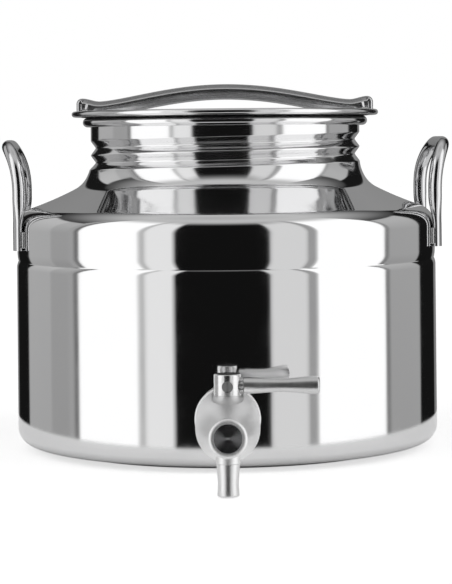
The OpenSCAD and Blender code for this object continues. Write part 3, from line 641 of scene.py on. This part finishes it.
def loop_handle(name, side_turn):
    """One loop: up from a foot, round two bends and down to the other foot."""
    straight = GRIP_Z - BEND_R - FOOT_Z
    half = np.vstack(
        [
            np.c_[np.full(40, -LEG_HALF), FOOT_Z + straight * np.linspace(0, 1, 40)],
            arc((BEND_R - LEG_HALF, GRIP_Z - BEND_R), BEND_R, 180, 90, 24)[1:],
        ]
    )
    line = np.vstack([half, [[0, GRIP_Z]], half[::-1] * [-1, 1]])
    foot_x = (UPPER_R + 0.05 + FOOT_T / 2) * math.cos(math.asin(LEG_HALF / (UPPER_R + FOOT_T / 2)))
    mid_x = foot_x - LEG_SET
    lean = np.clip((line[:, 1] - LEAN_LOW) / (GRIP_Z - LEAN_LOW), 0, None) ** LEAN_POWER
    x = mid_x + LEG_SET * (1 - ease(SET_LOW, SET_HIGH, line[:, 1])) + (GRIP_X - mid_x) * lean
    turn = math.radians(side_turn + HANDLE_TURN)
    points = np.c_[
        x * math.cos(turn) - line[:, 0] * math.sin(turn),
        x * math.sin(turn) + line[:, 0] * math.cos(turn),
        line[:, 1],
    ]
    mesh = bpy.data.meshes.new(name + "_path")
    mesh.from_pydata((points * MM).tolist(), [(i, i + 1) for i in range(len(points) - 1)], [])
    path = bpy.data.objects.new(name + "_path", mesh)
    scene.collection.objects.link(path)
    sizes = {
        "Tube Radius": TUBE_R * MM,
        "Foot Thickness": FOOT_T * MM,
        "Foot Width": FOOT_W * MM,
        "Flat Below": FLAT_TOP * MM,
        "Round Above": ROUND_LOW * MM,
        "Material": TUBE,
    }
    return run_rule(path, BENT_TUBE, name, sizes)


# Turned tap pieces


def turned(name, outline, place, material, segments=96, sharp=40, along="Z"):
    """A piece turned about an axis through a place: up Z, along +X, or along -Y."""
    made = lathe(name, outline, material, segments, True, sharp)
    swing = {
        "Z": Matrix(),
        "X": Matrix.Rotation(math.pi / 2, 4, "Y"),
        "Y": Matrix.Rotation(math.pi / 2, 4, "X"),
    }
    made.data.transform(Matrix.Translation(Vector(place) * MM) @ swing[along])
    return made


def spout():
    """The waisted outlet tube under the front of the barrel."""
    z = np.linspace(SPOUT_TIP + 0.4, SPOUT_TOP - 0.2, 48)
    upper = SPOUT_WAIST_R + SPOUT_TOP_FLARE * ease(SPOUT_WAIST_Z, SPOUT_TOP + 2.05, z)
    lower = SPOUT_WAIST_R + SPOUT_TIP_FLARE * (1 - ease(SPOUT_TIP, SPOUT_WAIST_Z, z))
    r = np.where(z > SPOUT_WAIST_Z, upper, lower)
    tail = TAP_Z - END_PLUG_R - 0.4
    bore = SPOUT_BORE_R
    outline = np.vstack(
        [
            [[bore, SPOUT_TIP + 0.3], [bore + 0.2, SPOUT_TIP], [r[0] - 0.3, SPOUT_TIP]],
            np.c_[r, z],
            [[r[-1] - 0.2, SPOUT_TOP], [SPOUT_TAIL_R, SPOUT_TOP], [SPOUT_TAIL_R, tail], [bore, tail]],
        ]
    )
    return turned("spout_tube", outline, (0, -SPOUT_D, 0), SPOUT)


def lever_grip():
    """The waisted grip on the lever's rod."""
    share = np.linspace(0, 1, 60)
    end = GRIP_END_ROUND
    length = LEVER_L - end - GRIP_START
    root = GRIP_WAIST_R + GRIP_ROOT_FLARE * (1 - ease(0.02, 0.5, share))
    far = GRIP_WAIST_R + GRIP_END_FLARE * ease(0.5, 0.96, share)
    outside = np.c_[np.where(share < 0.5, root, far), GRIP_START + 0.5 + (length - 0.5) * share]
    tip = arc((far[-1] - end, LEVER_L - end), end, 0, 90, 10)[1:]
    outline = np.vstack(
        [
            [[ROD_HOLE_R, GRIP_START], [root[0] - 0.5, GRIP_START]],
            outside,
            tip,
            [[0, LEVER_L], [0, ROD_HOLE_END], [ROD_HOLE_R, ROD_HOLE_END]],
        ]
    )
    return turned("lever_turned_grip", outline, (0, -VALVE_D, LEVER_Z), LEVER, along="X")


def front_plug():
    """The plug that closes the barrel's front, with the rings and the centre left by facing it."""
    r = np.linspace(END_PLUG_R - 0.3, 0.7, 110)
    front = TAP_FRONT - END_PLUG_SET
    back = front - END_PLUG_L
    ring_deep, ring_step = 0.025, 0.55
    rings = front - 2 * ring_deep - ring_deep * np.cos(r * 2 * math.pi / ring_step)
    low, high = (front - SEAL_GROOVE_BACK + way * SEAL_GROOVE_HALF for way in (-1, 1))
    inner = END_PLUG_R - SEAL_GROOVE_DEPTH
    outline = np.vstack(
        [
            [[0, back], [END_PLUG_R, back], [END_PLUG_R, low], [inner, low]],
            [[inner, high], [END_PLUG_R, high], [END_PLUG_R, front - 0.3]],
            np.c_[r, rings],
            [[0.4, front - 0.1], [0, front - 0.35]],
        ]
    )
    return turned("front_faced_plug", outline, (0, 0, TAP_Z), END_FACE_PAINTED_DARK, along="Y")


# Weld beads


def beads(name, runs, radius, along_x, along_z):
    """One mesh of weld beads: overlapping drops along runs of points."""
    mesh = bpy.data.meshes.new(name + "_runs")
    mesh.from_pydata((np.vstack(runs) * MM).tolist(), [], [])
    source = bpy.data.objects.new(name + "_runs", mesh)
    scene.collection.objects.link(source)
    sizes = {
        "Drop Radius": radius * MM,
        "Length Along X": along_x,
        "Length Along Z": along_z,
        "Material": WELD,
    }
    return run_rule(source, BEAD, name, sizes)


def handle_welds():
    """Beads up both edges of the side handles' four feet."""
    foot = math.asin(LEG_HALF / (UPPER_R + FOOT_T / 2))
    reach = UPPER_R + 0.5
    runs = []
    for side in (0, math.pi):
        for end in (-1, 1):
            for edge in (-1, 1):
                turn = math.radians(HANDLE_TURN) + side + end * foot
                across = edge * (FOOT_W / 2 + 0.35)
                z = np.linspace(FOOT_Z + 2, FOOT_Z + 9, 11)
                x = reach * math.cos(turn) - across * math.sin(turn)
                y = reach * math.sin(turn) + across * math.cos(turn)
                runs.append(np.c_[np.full(len(z), x), np.full(len(z), y), z])
    return beads("handle_weld_beads", runs, 1.0, 1.0, 0.72)


def lid_handle_welds():
    """Short beads between the bridge's sides and the flange."""
    runs = []
    for sx in (-1, 1):
        for sy in (-1, 1):
            x = sx * np.linspace(BRIDGE_SIDE_X - 2.9, BRIDGE_SIDE_X - 1.1, 4)
            runs.append(np.c_[x, np.full(4, sy * (BRIDGE_W / 2 + 0.3)), np.full(4, BRIDGE_BASE + 0.35)])
    return beads("lid_weld_beads", runs, 0.7, 0.8, 1.0)


# The studio


def studio_light():
    """A light tent: upright cards all round, pale and dark by turns, open to a black room at the back
    on both sides, under a ceiling that pales with height.

    Each card is its first edge, in degrees round from the camera's side, and the sRGB grey that the
    steel shows of it. The ceiling's greys go by height in degrees.
    """
    steel, soft = 0.8, 0.9
    cards = [
        (-180, "#787878"),
        (-162, "#141414"),
        (-137, "#A6A6A6"),
        (-110, "#999999"),
        (-90, "#666666"),
        (-86.5, "#FFFFFF"),
        (-48, "#B4B4B4"),
        (-44, "#E1E1E1"),
        (-28, "#101010"),
        (23.3, "#CFCFCF"),
        (44, "#969696"),
        (49.7, "#FFFFFF"),
        (95, "#767676"),
        (98.5, "#9E9E9E"),
        (130, "#141414"),
        (158, "#7C7C7C"),
    ]
    ceiling = [
        (33, "#303030"),
        (39, "#545454"),
        (43, "#6C6C6C"),
        (48, "#828282"),
        (62, "#B0B0B0"),
        (68, "#BABABA"),
        (85, "#AAAAAA"),
    ]
    ring_stops = []
    for (_, before), (edge, after) in zip(cards, cards[1:]):
        ring_stops += [((edge - soft + 180) / 360, before), ((edge + soft + 180) / 360, after)]
    studio = scene.world or bpy.data.worlds.new("studio")
    scene.world = studio
    studio.use_nodes = True
    tree = studio.node_tree
    tree.nodes.clear()
    way = add(tree, "ShaderNodeTexCoord").outputs["Generated"]
    x, y, z = add(tree, "ShaderNodeSeparateXYZ", way).outputs
    near = add(tree, MATH, y, -1.0, operation="MULTIPLY")
    angle = add(tree, MATH, add(tree, MATH, x, near, operation="ARCTAN2"), operation="DEGREES")
    height = add(tree, MATH, add(tree, MATH, z, operation="ARCSINE"), operation="DEGREES")
    ring = add(tree, "ShaderNodeValToRGB", add(tree, MATH, angle, 1 / 360, 0.5, operation="MULTIPLY_ADD"))
    over = add(tree, "ShaderNodeValToRGB", add(tree, MATH, height, 1 / 90, operation="MULTIPLY"))
    for made, stops in ((ring, ring_stops), (over, [(level / 90, grey) for level, grey in ceiling])):
        elements = made.color_ramp.elements
        for place, grey in stops:
            elements.new(place).color = linear(grey)
        elements.remove(elements[0])
        elements.remove(elements[-1])
    # The side cards are lower than the front ones, have a sharper top and pale with height; the black
    # card in the middle is a little lower than the white ones beside it.
    middle_top, front_top, side_top, front_blur, side_blur = 50.0, 56.0, 34.0, 10.0, 1.5
    aside = add(tree, MATH, angle, operation="ABSOLUTE")
    side = add(tree, RANGE, aside, 93.0, 96.0, 0.0, 1.0)
    front = add(tree, RANGE, aside, 28.0, 40.0, middle_top, front_top)
    top = add(tree, MATH, side, side_top - front_top, front, operation="MULTIPLY_ADD")
    blur = add(tree, MATH, side, side_blur - front_blur, front_blur, operation="MULTIPLY_ADD")
    past = add(tree, MATH, add(tree, MATH, height, top, operation="SUBTRACT"), blur, operation="DIVIDE")
    lift = add(tree, RANGE, height, -15.0, 25.0, -0.15, 0.2)
    gain = add(tree, MATH, side, lift, 1.0, operation="MULTIPLY_ADD")
    tent = add(tree, VECTOR, ring.outputs[0], operation="SCALE", inputs={"Scale": gain}).outputs[0]
    ends = ((past, -1.0, 1.0, over.outputs[0]), (height, -34.0, -46.0, linear("#CACACA")))
    for value, low, high, beyond in ends:
        share = add(tree, RANGE, value, low, high, 0.0, 1.0, interpolation_type="SMOOTHSTEP")
        tent = add(tree, MIX, share, data_type="RGBA", inputs={6: tent, 7: beyond}).outputs[2]
    seen = add(tree, "ShaderNodeLightPath").outputs["Is Camera Ray"]
    light = add(tree, "ShaderNodeBackground", tent, 1 / steel)
    white = add(tree, "ShaderNodeBackground", (1, 1, 1, 1), 1.0)
    add(tree, "ShaderNodeOutputWorld", add(tree, "ShaderNodeMixShader", seen, light, white))


def white_floor():
    """A white floor that keeps the can's shadow; steel mirrors only the table top round the can.

    The table's edge, and the ring under the can's rounded foot inside which the floor's mirrored glow is
    left off, are metres from the can's axis.
    """
    table_edge, glow_contact_shade_edge = (0.178, 0.188), (0.097, 0.115)
    seen_glow, mirrored_glow = 0.62, 0.34
    bpy.ops.mesh.primitive_plane_add(size=12, location=(0, 0, -0.0002))
    floor = bpy.context.object
    floor.name = "floor"
    made = bpy.data.materials.new("matte_white_floor")
    made.use_nodes = True
    tree = made.node_tree
    tree.nodes.clear()
    path = add(tree, "ShaderNodeLightPath").outputs
    where = add(tree, "ShaderNodeTexCoord").outputs["Object"]
    away = add(tree, VECTOR, where, operation="LENGTH").outputs["Value"]
    far = add(tree, RANGE, away, *table_edge, 0.0, 1.0)
    hidden = add(tree, MATH, far, path["Is Glossy Ray"], operation="MULTIPLY")
    paint = add(tree, "ShaderNodeBsdfDiffuse", linear("#E8E8E8"))
    seen = add(tree, MATH, path["Is Camera Ray"], seen_glow, operation="MULTIPLY")
    # The floor's glow for glossy rays is painted light that the steel mirrors in place of the floor's own
    # shaded light; it fades out under the can's foot, which paints shade into the reflected floor at the
    # contact.
    mirrored_glow_painted_off_under_foot = add(tree, RANGE, away, *glow_contact_shade_edge, 0.0, mirrored_glow)
    lift = add(tree, MATH, path["Is Glossy Ray"], mirrored_glow_painted_off_under_foot, seen, operation="MULTIPLY_ADD")
    glow = add(tree, "ShaderNodeEmission", (1, 1, 1, 1), lift)
    lit = add(tree, "ShaderNodeAddShader", paint, glow)
    clear = add(tree, "ShaderNodeBsdfTransparent")
    both = add(tree, "ShaderNodeMixShader", hidden, lit, clear)
    add(tree, "ShaderNodeOutputMaterial", both)
    floor.data.materials.append(made)


studio_light()
white_floor()

# Pieces on their bodies

for made, body, slot, nodes in (
    (lower_shell(), "can", "polished_steel", ("lower_shell",)),
    (
        lathe("shoulder_drawn", np.vstack([shoulder_line(0), shoulder_line(SHEET)[::-1]]), MIRROR, 360),
        "can",
        "polished_steel",
        ("shoulder",),
    ),
    (neck(), "can", "polished_steel", ("neck",)),
    (loop_handle("right_loop_tube", 0), "can", "polished_steel", ("right_handle",)),
    (loop_handle("left_loop_tube", 180), "can", "polished_steel", ("left_handle",)),
    (lid_pan(), "lid", "polished_steel", ("lid_pan",)),
    (bridge(), "lid", "polished_steel", ("lid_handle",)),
    (spout(), "can", "turned_steel", ("spout",)),
    (front_plug(), "can", "turned_steel", ("front_plug",)),
    (lever_grip(), "valve", "turned_steel", ("lever_grip",)),
    (handle_welds(), "can", "polished_steel", ("handle_welds",)),
    (lid_handle_welds(), "lid", "polished_steel", ("lid_handle_welds",)),
):
    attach(made, body)
    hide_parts(*nodes)

finishes = {
    MIRROR: ("seam_weld",),
    BARREL_PAINTED_PALE: ("tap_body", "tap_nut", "tap_washer"),
    UPRIGHT: ("valve_plug", "plug_spring", "plug_washer", "plug_nut"),
    LEVER: ("lever_stud",),
    SCREW: ("lever_screw",),
    SILICONE: ("tap_gasket_outer", "tap_gasket_inner"),
    # The lid's gasket takes the black rubber, which makes the thin gap under the lid's hem show as a dark
    # line.
    NITRILE: ("lid_gasket", "front_plug_seal", "plug_seal_upper", "plug_seal_lower"),
}
for finish, nodes in finishes.items():
    for name in nodes:
        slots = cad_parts[name].data.materials
        slots.clear()
        slots.append(finish)

# Camera

# The photo's upright edges stay parallel, so the camera looks level and its lens is shifted down.
PICTURE_W, PICTURE_H = 452, 584
LENS_PX, AXIS_X, AXIS_Y, CAMERA_ROLL = 2150.6, 225.1, 140.6, -0.0096
camera = bpy.data.objects.new("camera", bpy.data.cameras.new("camera"))
scene.collection.objects.link(camera)
camera.location = (0, -1.1359, 0.1593)
camera.rotation_mode = "QUATERNION"
camera.rotation_quaternion = Vector((0, 1, 0)).to_track_quat("-Z", "Y") @ Quaternion((0, 0, 1), CAMERA_ROLL)
camera.data.shift_x = (PICTURE_W / 2 - AXIS_X) / PICTURE_W
camera.data.shift_y = (AXIS_Y - PICTURE_H / 2) / PICTURE_W
camera.data.sensor_fit = "HORIZONTAL"
camera.data.sensor_width = 36
camera.data.lens = LENS_PX / PICTURE_W * camera.data.sensor_width
scene.camera = camera
scene.view_settings.view_transform = "Standard"
